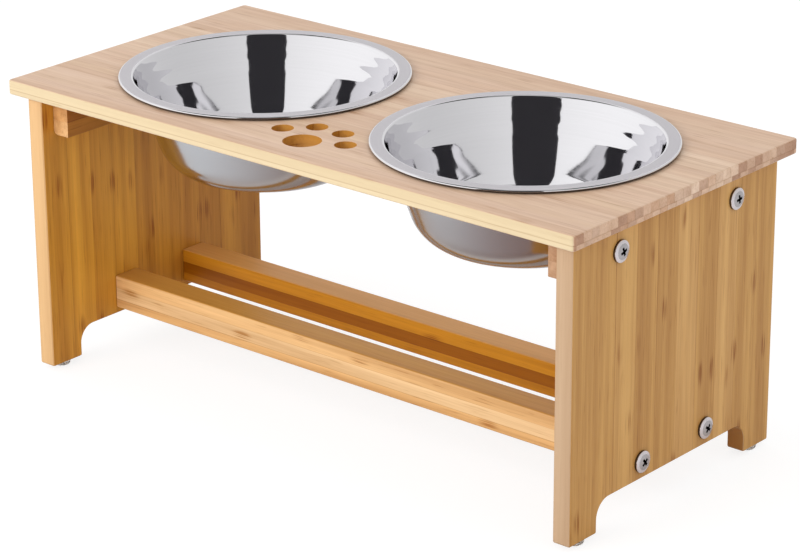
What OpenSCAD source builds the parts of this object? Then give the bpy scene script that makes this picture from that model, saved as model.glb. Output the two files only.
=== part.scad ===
// Raised feeder stand: a bamboo top on two arched side panels, with two steel bowls that lift out.
// Millimetres, +Z up. The origin is on the floor under the middle of the top, and the front faces -Y.
// The top takes its length and depth from the bowls, and every board below it follows the top.

/* [Bowls] */
// Diameter over the rolled edge of the rim
rim_diameter = 165.5; // [140:0.5:190]
// Width of the rim, from its outer edge to the bend into the wall
flange_width = 7.25; // [5:0.25:12]
// Height of the bowl, from its base to the top of the rim
bowl_height = 57.5; // [45:0.5:75]
// Thickness of the steel sheet
sheet = 0.8; // [0.6:0.1:1.2]
// Lean of the wall from the vertical, in degrees
wall_lean = 19.5; // [12:0.5:26]
// Outer radius of the corner between the wall and the base
base_corner_radius = 25; // [15:0.5:28]
// Radius under the bend between the wall and the rim
neck_radius = 0.5; // [0.4:0.1:3]
// Radius of the rolled edge of the rim
bead_radius = 0.9; // [0.7:0.1:1.5]
// Space between the two rims
bowl_gap = 20.5; // [10:0.5:60]
// Space round the bend of a bowl in its hole
hole_clearance = 1.5; // [0.5:0.1:3]
// Space left under the rolled edge where a rim rests on the top
seat_gap = 0.5; // [0.2:0.05:0.7]

/* [Top] */
// Thickness of the top
top_thickness = 8.5; // [7:0.5:14]
// Space from a rim to the front and the back edge of the top
rim_margin = 14.75; // [12:0.25:40]
// Overhang of the top past the side panels at its two ends
end_overhang = 6.5; // [2:0.5:15]
// Overhang of the top past the side panels at the front and the back
front_overhang = 8.5; // [2:0.5:15]
// Radius of the corners of the top, seen from above
top_corner_radius = 2; // [1.5:0.25:6]
// Radius of the eased edges of the top, panels and rails
edge_radius = 1; // [0.5:0.1:1.4]

/* [Paw] */
// Distance from the front edge of the top to the middle of the pad hole
paw_setback = 25; // [20:0.5:32]
// Diameter of the pad hole
pad_hole_diameter = 21; // [14:0.5:24]
// Diameter of the four toe holes
toe_hole_diameter = 12; // [8:0.25:13]
// Wood left between the pad hole and each toe hole
toe_gap = 7.7; // [6:0.1:9]
// Angle between one toe and the next, in degrees
toe_step = 45; // [40:1:48]

/* [Side panels] */
// Height of the side panels
panel_height = 164.5; // [140:0.5:260]
// Thickness of the side panels
panel_thickness = 11; // [9:0.5:16]
// Width of each foot
foot_width = 23; // [18:0.5:34]
// Height of the arch between the feet
arch_height = 17.5; // [14:0.5:30]
// Radius of the upper corners of the arch
arch_radius = 10; // [4:0.5:12]

/* [Battens and rails] */
// Thickness of the battens under the top
batten_thickness = 11.5; // [9.5:0.5:14]
// Height of the battens
batten_height = 24.5; // [22:0.5:34]
// Space from the front edge of a panel to the end of its batten
batten_setback = 8.5; // [2:0.5:16]
// Radius of the lower edge of a batten that is next to the panel
batten_edge_radius = 3; // [1:0.25:4]
// Space between a bowl hole and the batten beside it
batten_clearance = 1; // [1:0.5:12]
// Depth of the rails from front to back
rail_depth = 17.5; // [14:0.5:24]
// Height of the rails
rail_height = 20; // [18:0.5:26]
// Distance between the middles of the two rails
rail_spacing = 56.5; // [40:0.5:80]
// Height of the rails above the top of the arch
rail_lift = 4; // [1:0.5:12]

/* [Bolts and inserts] */
// Diameter of the bolts
bolt_diameter = 6; // [5:0.5:6.5]
// Diameter of the bolt heads
head_diameter = 12; // [10:0.5:15]
// Height of the domed bolt heads
head_height = 2.6; // [2.2:0.1:3.2]
// Height of the plain side of a head, below its dome
head_band = 1.3; // [0.6:0.1:1.6]
// Length of one slot of the cross recess
recess_length = 5.6; // [4:0.2:6.4]
// Width of each slot of the cross recess
recess_width = 1.5; // [0.8:0.1:1.8]
// Depth of the cross recess
recess_depth = 1.4; // [0.8:0.1:1.6]
// Space round a bolt in its hole through a panel
bolt_clearance = 0.3; // [0.2:0.05:0.6]
// Wall of the threaded inserts
insert_wall = 1.2; // [1:0.1:1.6]
// Space round an insert in its hole, and round a bolt in its insert
insert_clearance = 0.1; // [0.05:0.05:0.2]
// Wood left behind an insert in a batten
insert_backing = 1.5; // [1:0.1:2]
// Distance between the two upper bolts
upper_bolt_spacing = 101; // [80:1:120]
// How far the upper bolts sit below the middle of the battens
upper_bolt_drop = 1.75; // [0:0.25:3]
// How far the lower bolts sit below the middle of the rails
lower_bolt_drop = 4; // [0:0.25:4.5]

/* [Batten screws] */
// Diameter of the screws
screw_diameter = 3.5; // [3:0.25:4]
// Diameter of the countersunk heads
screw_head_diameter = 7; // [6:0.25:7.5]
// Depth of the countersunk heads
screw_head_height = 2.2; // [1.8:0.1:3]
// Depth of the hole under a batten that the head is sunk in
screw_sink = 8; // [5:0.5:12]
// How far the screws go into the top
screw_bite = 6; // [3:0.5:6.5]
// Space round a screw and its head
screw_clearance = 0.15; // [0.1:0.05:0.3]
// Distance between the two screws of a batten
screw_spacing = 50; // [30:1:60]

/* [Foot pads] */
// Diameter of the pads
pad_diameter = 10; // [6:0.5:10]
// Height of the pads
pad_height = 3; // [1.5:0.25:4]
// Radius of the lower edge of a pad
pad_edge_radius = 1; // [0.5:0.1:1.2]

/* [Hidden] */
$fn = 96;

left = -1;
right = 1;
front = -1;
rear = 1;
both = [-1, 1];
toe_count = 4;
// Cutters reach this far past the face that they cut
past = 1;

bamboo_top = "#DEC1A5";
bamboo_side = "#C0985F";
bamboo_bar = "#E0B47A";
steel = "#CFCDD2";
nickel = "#C9C5CC";
zinc = "#BDB8A6";
silicone = "#ECEBE6";

// Bowl places along X, and the holes that they hang in
rim_radius = rim_diameter / 2;
bowl_x = rim_radius + bowl_gap / 2;
bend_radius = rim_radius - flange_width;
hole_radius = bend_radius + hole_clearance;

// The row from a bowl hole out to the end of the top: batten, panel, overhang
batten_inner_x = bowl_x + hole_radius + batten_clearance;
panel_inner_x = batten_inner_x + batten_thickness;
panel_outer_x = panel_inner_x + panel_thickness;
top_length = 2 * (panel_outer_x + end_overhang);
top_depth = 2 * (rim_radius + rim_margin);
panel_depth = top_depth - 2 * front_overhang;
batten_length = panel_depth - 2 * batten_setback;
rail_length = 2 * panel_inner_x;

// Levels above the floor
panel_z = pad_height;
top_z = panel_z + panel_height;
surface_z = top_z + top_thickness;
bowl_z = surface_z + seat_gap + 2 * bead_radius - bowl_height;
batten_z = top_z - batten_height;
rail_z = panel_z + arch_height + rail_lift;
upper_bolt_z = batten_z + batten_height / 2 - upper_bolt_drop;
lower_bolt_z = rail_z + rail_height / 2 - lower_bolt_drop;

// Fasteners
insert_length = batten_thickness - insert_backing;
insert_radius = bolt_diameter / 2 + insert_clearance + insert_wall;
insert_hole_radius = insert_radius + insert_clearance;
bolt_length = panel_thickness + insert_length;
screw_length = batten_height - screw_sink + screw_bite;
screw_pilot_radius = screw_diameter / 2 + screw_clearance;
screw_x = batten_inner_x + batten_thickness / 2;

// Bowl section: the wall runs between the base corner's arc and the neck's arc, tangent to both
wall_up = [sin(wall_lean), cos(wall_lean)];
wall_out = [cos(wall_lean), -sin(wall_lean)];
neck_centre = [bend_radius, bowl_height - sheet - neck_radius];
arc_reach = base_corner_radius + neck_radius;
wall_run = (neck_centre.y - base_corner_radius + arc_reach * sin(wall_lean)) / cos(wall_lean);
corner_centre = neck_centre - arc_reach * wall_out - wall_run * wall_up;

// Rectangle with round corners, its lower left corner at the origin
module rounded_rectangle(size, radius) {
    translate([radius, 0]) square([size.x - 2 * radius, size.y]);
    translate([0, radius]) square([size.x, size.y - 2 * radius]);
    for (x = [radius, size.x - radius], y = [radius, size.y - radius])
        translate([x, y]) circle(radius);
}

// Stands a drawing of Y and Z up and extrudes it along +X
module along_x(length) {
    rotate([90, 0, 90]) linear_extrude(length) children();
}

// Stands a drawing of X and Z up and extrudes it along +Y
module along_y(length) {
    translate([0, length, 0]) rotate([90, 0, 0]) linear_extrude(length) children();
}

// Board that is centred on Z, with its edges eased all round
module eased_board(size, corner_radius) {
    translate([-size.x / 2, -size.y / 2, 0]) intersection() {
        linear_extrude(size.z) rounded_rectangle([size.x, size.y], corner_radius);
        along_x(size.x) rounded_rectangle([size.y, size.z], edge_radius);
        along_y(size.y) rounded_rectangle([size.x, size.z], edge_radius);
    }
}

// One pad and the toes on a circle round it, as drilled holes, with the toes towards +Y
module paw_holes(depth) {
    cylinder(d = pad_hole_diameter, h = depth);
    toe_circle = (pad_hole_diameter + toe_hole_diameter) / 2 + toe_gap;
    for (i = [0:toe_count - 1])
        rotate(90 + (i - (toe_count - 1) / 2) * toe_step)
            translate([toe_circle, 0, 0]) cylinder(d = toe_hole_diameter, h = depth);
}

module top_panel() {
    cut_depth = top_thickness + 2 * past;
    color(bamboo_top) difference() {
        translate([0, 0, top_z])
            eased_board([top_length, top_depth, top_thickness], top_corner_radius);
        for (side = both)
            translate([side * bowl_x, 0, top_z - past]) cylinder(r = hole_radius, h = cut_depth);
        translate([0, paw_setback - top_depth / 2, top_z - past]) paw_holes(cut_depth);
        for (side = both, end = both)
            translate([side * screw_x, end * screw_spacing / 2, top_z - past])
                cylinder(r = screw_pilot_radius, h = screw_bite + screw_clearance + past);
    }
}

// Opening between the feet, with round upper corners
module arch() {
    width = panel_depth - 2 * foot_width;
    translate([-width / 2, -arch_height]) rounded_rectangle([width, 2 * arch_height], arch_radius);
}

// A panel with its inner face on X = 0 and its thickness along +X
module side_panel() {
    difference() {
        intersection() {
            along_x(panel_thickness) difference() {
                translate([-panel_depth / 2, 0]) square([panel_depth, panel_height]);
                arch();
            }
            translate([0, -panel_depth / 2, 0])
                linear_extrude(panel_height)
                    rounded_rectangle([panel_thickness, panel_depth], edge_radius);
        }
        bolt_radius = bolt_diameter / 2 + bolt_clearance;
        for (side = both) {
            translate([-past, side * upper_bolt_spacing / 2, upper_bolt_z - panel_z])
                rotate([0, 90, 0]) cylinder(r = bolt_radius, h = panel_thickness + 2 * past);
            translate([-past, side * rail_spacing / 2, lower_bolt_z - panel_z])
                rotate([0, 90, 0]) cylinder(r = bolt_radius, h = panel_thickness + 2 * past);
        }
    }
}

// Sets a piece that is drawn for the right on the left or the right
module on_side(side) {
    if (side == left) mirror([1, 0, 0]) children();
    else children();
}

module panel_on(side) {
    color(bamboo_side) on_side(side) translate([panel_inner_x, 0, panel_z]) side_panel();
}
module left_panel() { panel_on(left); }
module right_panel() { panel_on(right); }

// Outline of a batten's end: square, but for the round lower edge on the panel's side
module batten_outline() {
    flat_width = batten_thickness - batten_edge_radius;
    square([flat_width, batten_height]);
    translate([0, batten_edge_radius]) square([batten_thickness, batten_height - batten_edge_radius]);
    translate([flat_width, batten_edge_radius]) circle(batten_edge_radius);
}

// Blind hole for an insert, opening on X = 0 and going to -X
module insert_hole() {
    translate([past, 0, 0]) rotate([0, -90, 0])
        cylinder(r = insert_hole_radius, h = insert_length + insert_clearance + past);
}

// Sunk hole for a screw that points up, opening on Z = 0 and going through the batten
module screw_hole() {
    head_room = screw_head_diameter / 2 + screw_clearance;
    translate([0, 0, -past]) {
        cylinder(r = head_room, h = screw_sink + past);
        cylinder(r = screw_pilot_radius, h = batten_height + 2 * past);
    }
    translate([0, 0, screw_sink])
        cylinder(r1 = head_room, r2 = screw_pilot_radius, h = screw_head_height);
}

module batten_on(side) {
    color(bamboo_bar) on_side(side) difference() {
        translate([batten_inner_x, -batten_length / 2, batten_z])
            along_y(batten_length) batten_outline();
        for (end = both) {
            translate([panel_inner_x, end * upper_bolt_spacing / 2, upper_bolt_z]) insert_hole();
            translate([screw_x, end * screw_spacing / 2, batten_z]) screw_hole();
        }
    }
}
module left_batten() { batten_on(left); }
module right_batten() { batten_on(right); }

module rail_at(place) {
    color(bamboo_bar) difference() {
        translate([-rail_length / 2, place * rail_spacing / 2 - rail_depth / 2, rail_z])
            along_x(rail_length) rounded_rectangle([rail_depth, rail_height], edge_radius);
        for (side = both)
            on_side(side)
                translate([panel_inner_x, place * rail_spacing / 2, lower_bolt_z]) insert_hole();
    }
}
module front_rail() { rail_at(front); }
module rear_rail() { rail_at(rear); }

// Half of the space inside the bowl's outer face, drawn in by inset, up to a level at the rim
module cup_section(inset, level) {
    corner_end = corner_centre + (base_corner_radius - inset) * wall_out;
    wall_end = neck_centre - (neck_radius + inset) * wall_out;
    difference() {
        polygon([
            [0, inset], [corner_centre.x, inset], corner_end, wall_end,
            neck_centre, [neck_centre.x, level], [0, level]
        ]);
        translate(neck_centre) circle(neck_radius + inset);
    }
    translate(corner_centre) circle(base_corner_radius - inset);
}

// Pressed steel bowl, turned from one section: base, leaning wall, neck, flat rim and rolled edge
module bowl() {
    bead_x = rim_radius - bead_radius;
    rotate_extrude() {
        difference() {
            union() {
                cup_section(0, bowl_height);
                translate([0, bowl_height - sheet]) square([bead_x, sheet]);
            }
            cup_section(sheet, bowl_height + past);
        }
        translate([bead_x, bowl_height - bead_radius]) circle(bead_radius);
    }
}

module bowl_on(side) {
    color(steel) translate([side * bowl_x, 0, bowl_z]) bowl();
}
module left_bowl() { bowl_on(left); }
module right_bowl() { bowl_on(right); }

// Bolt with a low domed head and a cross recess; the head sits on X = 0, and the shank goes to -X
module bolt() {
    dome = head_height - head_band;
    dome_radius = (pow(head_diameter / 2, 2) + pow(dome, 2)) / (2 * dome);
    difference() {
        rotate([0, 90, 0]) {
            cylinder(d = head_diameter, h = head_band);
            intersection() {
                translate([0, 0, head_height - dome_radius]) sphere(dome_radius);
                translate([0, 0, head_band]) cylinder(d = head_diameter, h = dome);
            }
            translate([0, 0, -bolt_length]) cylinder(d = bolt_diameter, h = bolt_length + head_band / 2);
        }
        for (turn = [0, 90])
            rotate([turn, 0, 0])
                translate([head_height - recess_depth, -recess_length / 2, -recess_width / 2])
                    cube([recess_depth + past, recess_length, recess_width]);
    }
}

// Two bolts through one panel, at one height
module bolt_pair(side, spacing, z) {
    color(nickel) on_side(side)
        for (end = both) translate([panel_outer_x, end * spacing / 2, z]) bolt();
}
module left_upper_bolts() { bolt_pair(left, upper_bolt_spacing, upper_bolt_z); }
module left_lower_bolts() { bolt_pair(left, rail_spacing, lower_bolt_z); }
module right_upper_bolts() { bolt_pair(right, upper_bolt_spacing, upper_bolt_z); }
module right_lower_bolts() { bolt_pair(right, rail_spacing, lower_bolt_z); }

// Threaded sleeve with its open face on X = 0, going to -X
module insert() {
    rotate([0, -90, 0]) difference() {
        cylinder(r = insert_radius, h = insert_length);
        translate([0, 0, -past])
            cylinder(r = bolt_diameter / 2 + insert_clearance, h = insert_length + 2 * past);
    }
}

module batten_inserts_on(side) {
    color(zinc) on_side(side)
        for (end = both)
            translate([panel_inner_x, end * upper_bolt_spacing / 2, upper_bolt_z]) insert();
}
module left_batten_inserts() { batten_inserts_on(left); }
module right_batten_inserts() { batten_inserts_on(right); }

module rail_inserts_at(place) {
    color(zinc)
        for (side = both)
            on_side(side) translate([panel_inner_x, place * rail_spacing / 2, lower_bolt_z]) insert();
}
module front_rail_inserts() { rail_inserts_at(front); }
module rear_rail_inserts() { rail_inserts_at(rear); }

// Countersunk screw that points up, with its head's flat face on Z = 0
module screw() {
    cylinder(d1 = screw_head_diameter, d2 = screw_diameter, h = screw_head_height);
    cylinder(d = screw_diameter, h = screw_length);
}

module batten_screws_on(side) {
    color(zinc) on_side(side)
        for (end = both)
            translate([screw_x, end * screw_spacing / 2, batten_z + screw_sink]) screw();
}
module left_batten_screws() { batten_screws_on(left); }
module right_batten_screws() { batten_screws_on(right); }

// Round pad with its flat underside on the floor and an eased lower edge
module pad_at(side, place) {
    x = (panel_inner_x + panel_outer_x) / 2;
    y = (panel_depth - foot_width) / 2;
    radius = pad_diameter / 2;
    color(silicone) translate([side * x, place * y, 0]) rotate_extrude() {
        square([radius - pad_edge_radius, pad_height]);
        translate([0, pad_edge_radius]) square([radius, pad_height - pad_edge_radius]);
        translate([radius - pad_edge_radius, pad_edge_radius]) circle(pad_edge_radius);
    }
}
module left_front_pad() { pad_at(left, front); }
module left_rear_pad() { pad_at(left, rear); }
module right_front_pad() { pad_at(right, front); }
module right_rear_pad() { pad_at(right, rear); }

top_panel();
left_panel();
right_panel();
left_batten();
right_batten();
front_rail();
rear_rail();
left_bowl();
right_bowl();
left_upper_bolts();
left_lower_bolts();
right_upper_bolts();
right_lower_bolts();
left_batten_inserts();
right_batten_inserts();
front_rail_inserts();
rear_rail_inserts();
left_batten_screws();
right_batten_screws();
left_front_pad();
left_rear_pad();
right_front_pad();
right_rear_pad();
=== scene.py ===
"""Looks of a raised bamboo feeder stand with two steel bowls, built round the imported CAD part.

All lengths are metres, in the CAD frame: +Z up, the front to -Y, the floor at Z = 0.
"""
import math

import bmesh
import bpy
from mathutils import Matrix, Vector


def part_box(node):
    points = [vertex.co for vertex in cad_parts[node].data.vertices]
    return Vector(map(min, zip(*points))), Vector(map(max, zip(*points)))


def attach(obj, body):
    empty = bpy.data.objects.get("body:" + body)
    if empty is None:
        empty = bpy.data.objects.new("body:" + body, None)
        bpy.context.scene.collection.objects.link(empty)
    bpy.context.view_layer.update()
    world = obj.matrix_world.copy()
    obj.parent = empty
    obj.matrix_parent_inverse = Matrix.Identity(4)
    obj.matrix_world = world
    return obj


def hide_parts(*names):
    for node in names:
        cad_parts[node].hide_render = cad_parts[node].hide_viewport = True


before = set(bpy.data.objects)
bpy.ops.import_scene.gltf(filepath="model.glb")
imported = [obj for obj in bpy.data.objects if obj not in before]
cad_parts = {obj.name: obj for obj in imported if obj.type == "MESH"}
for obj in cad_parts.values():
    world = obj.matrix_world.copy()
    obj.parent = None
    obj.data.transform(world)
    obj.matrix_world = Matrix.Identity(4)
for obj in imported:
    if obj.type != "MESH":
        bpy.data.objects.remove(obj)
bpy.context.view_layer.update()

# Side panels: two boards of laminated bamboo that stand on edge, with the grain upright.
# An arch is sawn out of the lower edge of each, which leaves two feet, and four bolt holes are drilled.
# The outer edges are eased with a small round cutter and sanded.
MM = 0.001
EASED = 1.0 * MM
EASED_STEPS = 3
SHARP_ANGLE = math.radians(40)
MERGE = 0.002 * MM
FOOT_WIDTH = 23 * MM
ARCH_HEIGHT = 17.5 * MM
ARCH_RADIUS = 10 * MM
ARCH_STEPS = 10
# Half of the distance between two bolts, and their height
UPPER_BOLTS = (50.5 * MM, 153.5 * MM)
LOWER_BOLTS = (28.25 * MM, 30.5 * MM)
BOLT_HOLE_RADIUS = 3.3 * MM
DRILL_SIDES = 48
# Cutters reach this far past the face that they cut
PAST = 4 * MM
# A face counts as facing one way where its normal has at least this share of that way
FACING = 0.9
# Axes of an upright board: along the grain, across the strips and through the layers
UPRIGHT = ("Z", "Y", "X")
PANEL_STRIPS = 10
PANEL_LAYER = 30 * MM
# The strips are all as wide as each other
PANEL_SPACING = 1.0
PANEL_SEEDS = {"left": 7.5, "right": 12.5}
# Tones of the outer faces, of the inner faces, more amber as painted shade, of the edges and of the sawn ends
OUTER_FACES = ("#CC9751", "#DEAC64", "#F0C07C")
INNER_FACES_PAINTED_SHADE = ("#C88A34", "#DFA03C", "#F6B644")
PANEL_EDGES = {"left": ("#E6BB85", "#ECC48F", "#E0B37B"), "right": ("#C3A180", "#CAAA88", "#BB9976")}
PANEL_ENDS = ("#B98A58", "#C69763", "#A97B4C")
# Tones in the sawn arch and the drilled holes, which are browner: painted shade inside them
SAWN_EDGES = ("#AC7232", "#B37B3A", "#A5692B")
# Tone of each strip from the front to the rear, as a share of the way through the wide faces' tones
PANEL_LEVELS = {
    # On the left panel the strips grow darker towards the rear, a painted shade under the top
    "left": (0.75, 0.95, 0.7, 0.85, 0.45, 0.6, 0.4, 0.2, 0.35, 0.1),
    "right": (0.5, 0.35, 0.55, 0.3, 0.5, 0.75, 0.45, 0.7, 0.5, 0.35),
}


def take(piece):
    """Makes one piece the only selected one, and the active one."""
    bpy.ops.object.select_all(action="DESELECT")
    piece.select_set(True)
    bpy.context.view_layer.objects.active = piece


def new_board(name, low, high):
    """A cube primitive stretched between two corners, with its place in its mesh."""
    bpy.ops.object.select_all(action="DESELECT")
    bpy.ops.mesh.primitive_cube_add(size=1, location=(low + high) / 2, scale=high - low)
    board = bpy.context.object
    board.name = name
    bpy.ops.object.transform_apply(location=True, rotation=True, scale=True)
    return board


def is_sharp(edge):
    """True for the edge of a corner, and false for one inside a flat face or a round."""
    return edge.calc_face_angle(0) > SHARP_ANGLE


def round_edges(piece, radius, steps, wanted=is_sharp):
    """Bevels the edges that are wanted."""
    take(piece)
    bpy.ops.object.mode_set(mode="EDIT")
    bpy.ops.mesh.select_mode(type="EDGE")
    bpy.ops.mesh.select_all(action="DESELECT")
    edit = bmesh.from_edit_mesh(piece.data)
    for edge in edit.edges:
        if wanted(edge):
            edge.select_set(True)
    bmesh.update_edit_mesh(piece.data)
    bpy.ops.mesh.bevel(offset=radius, segments=steps, profile=0.5, affect="EDGES", clamp_overlap=True)
    bpy.ops.object.mode_set(mode="OBJECT")


def cut(piece, cutter):
    """Takes the cutter's shape out of a piece. The new faces keep the cutter's material."""
    modifier = piece.modifiers.new("cut", "BOOLEAN")
    modifier.operation = "DIFFERENCE"
    modifier.solver = "EXACT"
    modifier.material_mode = "TRANSFER"
    modifier.object = cutter
    take(piece)
    bpy.ops.object.modifier_apply(modifier=modifier.name)
    bpy.data.objects.remove(cutter)


def drill(piece, start, end, radius, sides=DRILL_SIDES, material=None):
    """Drills a round hole between two points, with walls of a material if one is given."""
    bpy.ops.object.select_all(action="DESELECT")
    run = end - start
    bpy.ops.mesh.primitive_cylinder_add(
        vertices=sides,
        radius=radius,
        depth=run.length,
        location=(start + end) / 2,
        rotation=run.to_track_quat("Z", "Y").to_euler(),
    )
    if material:
        bpy.context.object.data.materials.append(material)
    cut(piece, bpy.context.object)


def settle(piece):
    """Merges doubled points and shades rounds smooth and flat faces flat."""
    take(piece)
    bpy.ops.object.mode_set(mode="EDIT")
    bpy.ops.mesh.select_all(action="SELECT")
    bpy.ops.mesh.remove_doubles(threshold=MERGE)
    bpy.ops.mesh.select_all(action="DESELECT")
    bpy.ops.object.mode_set(mode="OBJECT")
    bpy.ops.object.shade_smooth_by_angle(angle=SHARP_ANGLE)
    weighted = piece.modifiers.new("flat_faces", "WEIGHTED_NORMAL")
    weighted.keep_sharp = True
    bpy.ops.object.modifier_apply(modifier=weighted.name)


def dress(piece, material):
    """Gives a piece one material all over."""
    piece.data.materials.clear()
    piece.data.materials.append(material)


def linear(code):
    """A linear colour from an sRGB hex code."""
    shares = [int(code[i:i + 2], 16) / 255 for i in (1, 3, 5)]
    return tuple(s / 12.92 if s <= 0.04045 else ((s + 0.055) / 1.055) ** 2.4 for s in shares) + (1.0,)


def add_node(tree, kind, inputs=None, **settings):
    """Adds a shader node. An input takes a value, an output, or a node, whose first output it then takes."""
    node = tree.nodes.new(kind)
    for name, value in settings.items():
        setattr(node, name, value)
    for name, value in (inputs or {}).items():
        if isinstance(value, bpy.types.Node):
            value = value.outputs[0]
        if isinstance(value, bpy.types.NodeSocket):
            tree.links.new(value, node.inputs[name])
        else:
            node.inputs[name].default_value = value
    return node


def new_material(name):
    """An empty material and its node tree."""
    material = bpy.data.materials.new(name)
    material.use_nodes = True
    material.node_tree.nodes.clear()
    return material, material.node_tree


def bamboo(name, axes, corner, strip, layer, tones, seed, row=None, lines=0.2, sawn_lines=2.6, plies=0.0,
           bands=0.5, knuckles=0.7, stagger=9.0, uneven=0.45):
    """Laminated bamboo under satin lacquer: strips glued side by side, each of its own tone.

    It gives the eye soft bands and fine fibres along the grain, thin glue lines, a brown smudge at a knuckle
    here and there, paler edges, and darker blocks with dots of fibre on the sawn ends.
    A row says how wide the board is, the power that spaces its strips, and the tone of each strip.
    """
    # Length and width, the noise where each is darkest and where it ends, and how dark it is at most;
    # the real fibres are about 0.3 mm wide and are drawn wider, so that they show
    grains = {
        "bands": (320 * MM, 7 * MM, 0.32, 0.68, bands),
        "fibres": (40 * MM, 1.0 * MM, 0.3, 0.7, 0.16),
        "dashes": (26 * MM, 1.4 * MM, 0.28, 0.4, 0.3),
    }
    grain_detail = 2.5
    grain_roughness = 0.55
    # The grain of a strip starts up to this far along it
    grain_start = 3.0
    # Only the firmer glue lines show, and the firmest is this much darker than asked for
    glue_line = 0.5 * MM
    glue_shows = 0.4
    glue_firmest = 1.8
    # A knuckle fills part of its cell, is shown in some cells, and is broken up by the fibres
    knuckle_cell = (44 * MM, 15 * MM)
    knuckle_reach = 0.23
    knuckle_shows = (0.58, 0.7)
    knuckle_fibres = (0.44, 0.56)
    knuckle_least = 0.15
    # Share of its normal from which a face starts to count as an edge or an end, and counts in full
    turned_share = (0.55, 0.8)
    edge_calm = 0.5
    stain = linear("#B4946A")
    # The lacquer's roughness over open and over closed fibres, and how far fibres and glue lines stand out
    lacquer_ior = 1.5
    lacquer_specular = 0.3
    fibre_range = (0.3, 0.7)
    roughness = (0.48, 0.36)
    ridge = 0.25 * MM
    ridge_strength = 0.12
    groove = -0.8
    even_cells = {"Scale": 1.0, "Randomness": 0.0}
    strip_cells = {"Scale": 1.0, "Randomness": uneven}

    material, tree = new_material(name)
    place = add_node(tree, "ShaderNodeTexCoord")
    moved = add_node(tree, "ShaderNodeMapping", {"Vector": place.outputs["Object"], "Location": -corner})
    split = add_node(tree, "ShaderNodeSeparateXYZ", {0: moved})
    facing = add_node(tree, "ShaderNodeSeparateXYZ", {0: place.outputs["Normal"]})
    along, across, through = (split.outputs[axis] for axis in axes)

    # How far a face looks across the strips, where it is an edge, and along the grain, where it is a sawn end
    turned = []
    for axis in (axes[1], axes[0]):
        part = add_node(tree, "ShaderNodeMath", {0: facing.outputs[axis]}, operation="ABSOLUTE")
        turned.append(add_node(tree, "ShaderNodeMapRange", {
            0: part, 1: turned_share[0], 2: turned_share[1], 3: 0.0, 4: 1.0}))
    is_edge, is_end = turned

    # Layers through the board, and strips across it that start elsewhere in each layer
    depth = add_node(tree, "ShaderNodeMath", {0: through, 1: 1 / layer, 2: seed + 0.5},
                     operation="MULTIPLY_ADD")
    ply = add_node(tree, "ShaderNodeTexVoronoi", {"W": depth, **even_cells}, voronoi_dimensions="1D")
    ply_rand = add_node(tree, "ShaderNodeSeparateColor", {0: ply.outputs["Color"]})
    shift = add_node(tree, "ShaderNodeMath", {0: ply_rand, 1: stagger, 2: int(seed) + 0.5},
                     operation="MULTIPLY_ADD")
    strips = across
    if row:
        # A power below one makes each strip wider than the one before it
        width, power, levels = row
        share = add_node(tree, "ShaderNodeMath", {0: across, 1: width}, operation="DIVIDE")
        bent = add_node(tree, "ShaderNodeMath", {0: share, 1: power}, operation="POWER")
        strips = add_node(tree, "ShaderNodeMath", {0: bent, 1: width}, operation="MULTIPLY")
    count = add_node(tree, "ShaderNodeMath", {0: strips, 1: 1 / strip, 2: shift}, operation="MULTIPLY_ADD")
    cell = add_node(tree, "ShaderNodeTexVoronoi", {"W": count, **strip_cells}, voronoi_dimensions="1D")
    border = add_node(tree, "ShaderNodeTexVoronoi", {"W": count, **strip_cells},
                      voronoi_dimensions="1D", feature="DISTANCE_TO_EDGE")
    own = add_node(tree, "ShaderNodeSeparateColor", {0: cell.outputs["Color"]})
    tone, offset, firm = own.outputs
    if row:
        # Each strip has the tone given for it
        steps = add_node(tree, "ShaderNodeValToRGB", {0: bent})
        steps.color_ramp.interpolation = "CONSTANT"
        marks = steps.color_ramp.elements
        while len(marks) < len(levels):
            marks.new(0.5)
        for i, level in enumerate(levels):
            marks[i].position = i / len(levels)
            marks[i].color = (level, level, level, 1.0)
        tone = steps

    # Glue lines between the strips, and between the layers, where they show more on the edges
    line = add_node(tree, "ShaderNodeMapRange", {0: border, 1: 0.0, 2: glue_line / strip, 3: 1.0, 4: 0.0},
                    interpolation_type="SMOOTHSTEP")
    line_dark = add_node(tree, "ShaderNodeMapRange", {
        0: firm, 1: glue_shows, 2: 1.0, 3: 0.0, 4: glue_firmest * lines})
    ply_border = add_node(tree, "ShaderNodeTexVoronoi", {"W": depth, **even_cells},
                          voronoi_dimensions="1D", feature="DISTANCE_TO_EDGE")
    ply_line = add_node(tree, "ShaderNodeMapRange", {
        0: ply_border, 1: 0.0, 2: glue_line / layer, 3: 1.0, 4: 0.0}, interpolation_type="SMOOTHSTEP")
    ply_dark = add_node(tree, "ShaderNodeMath", {0: is_edge, 1: plies, 2: lines}, operation="MULTIPLY_ADD")
    ply_line = add_node(tree, "ShaderNodeMath", {0: ply_line, 1: ply_dark}, operation="MULTIPLY")
    dark = add_node(tree, "ShaderNodeMath", {0: line, 1: line_dark, 2: ply_line}, operation="MULTIPLY_ADD")
    sawn = add_node(tree, "ShaderNodeMath", {0: is_end, 1: sawn_lines - 1, 2: 1.0}, operation="MULTIPLY_ADD")
    dark = add_node(tree, "ShaderNodeMath", {0: dark, 1: sawn}, operation="MULTIPLY")

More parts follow.
